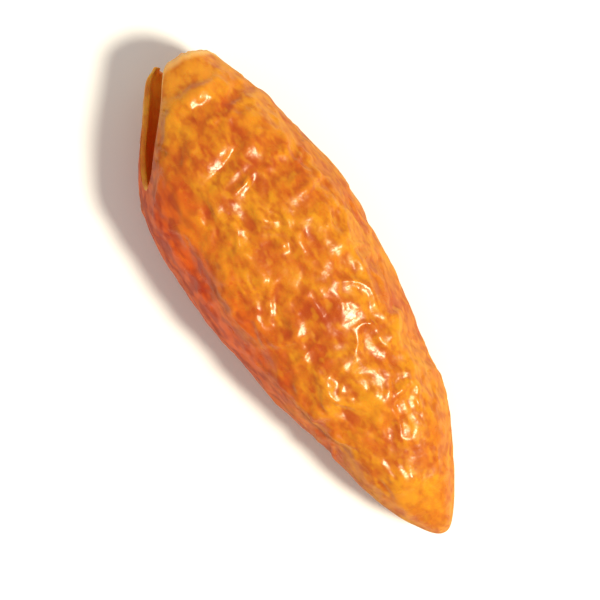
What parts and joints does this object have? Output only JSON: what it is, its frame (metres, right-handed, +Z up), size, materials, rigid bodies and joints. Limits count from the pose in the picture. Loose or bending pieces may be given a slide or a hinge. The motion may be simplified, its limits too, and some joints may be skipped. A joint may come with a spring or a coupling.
{
  "type": "dried bird's eye chili pod",
  "caption": "Dried bird's eye chili pod lying on its side: a wrinkled, tapering skin with a torn, slit-open stem end and a blunt tip.",
  "frame": {"origin": "under the middle of the pod's box, on the surface that it lies on", "axes": "+X along the pod from the torn stem end to the tip, +Y across it, away from the slit in the stem end, +Z up"},
  "size_m": [0.0262, 0.0094, 0.0071],
  "materials": {
    "dried_skin": "glossy, wrinkled dried skin, orange mottled with rust red"
  },
  "bodies": {
    "root": {"chili_pod": "dried_skin"}
  },
  "joints": []
}
